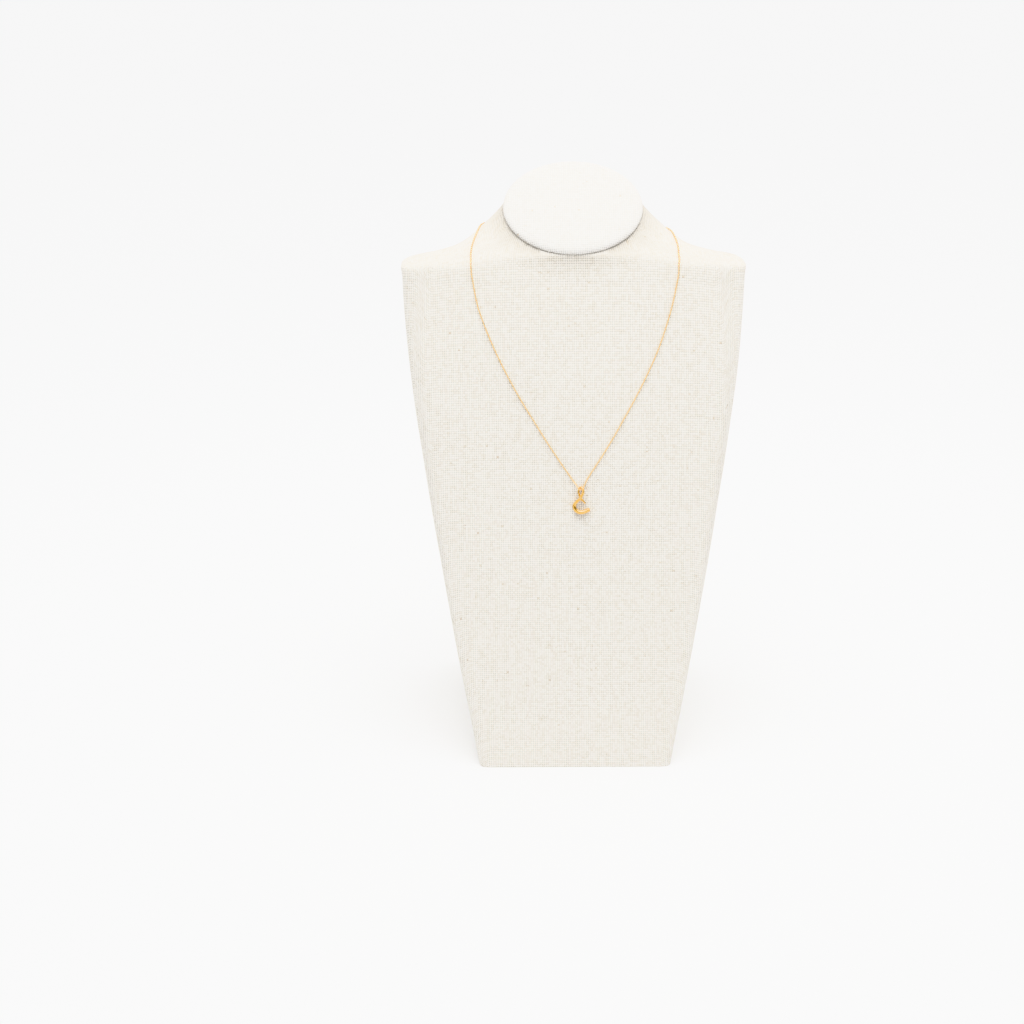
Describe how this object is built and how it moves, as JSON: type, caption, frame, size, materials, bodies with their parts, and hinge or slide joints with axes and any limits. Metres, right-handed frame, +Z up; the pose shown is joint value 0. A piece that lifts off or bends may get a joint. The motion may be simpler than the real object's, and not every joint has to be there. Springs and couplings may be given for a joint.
{
  "type": "initial pendant necklace on neck bust",
  "caption": "Gold initial pendant, a letter C of one looped wire, on a fine cable chain with a spring ring clasp, worn by a plain linen neck bust.",
  "frame": {"origin": "middle of the bust's foot, on the surface that it stands on", "axes": "+Z up, -Y the way that the chest faces, +X to the right as seen from in front"},
  "size_m": [0.192, 0.1478, 0.3096],
  "materials": {
    "linen": "coarse plain weave, cream with beige threads",
    "cap_linen": "coarse plain weave over a padded cap",
    "chain_gold": "polished yellow gold",
    "letter_gold": "polished yellow gold",
    "clasp_gold": "polished yellow gold"
  },
  "bodies": {
    "root": {"bust_body": "linen", "neck_cap": "cap_linen", "chain": "chain_gold", "letter_c": "letter_gold", "clasp": "clasp_gold", "end_link": "clasp_gold", "catch_ring": "clasp_gold"}
  },
  "joints": []
}
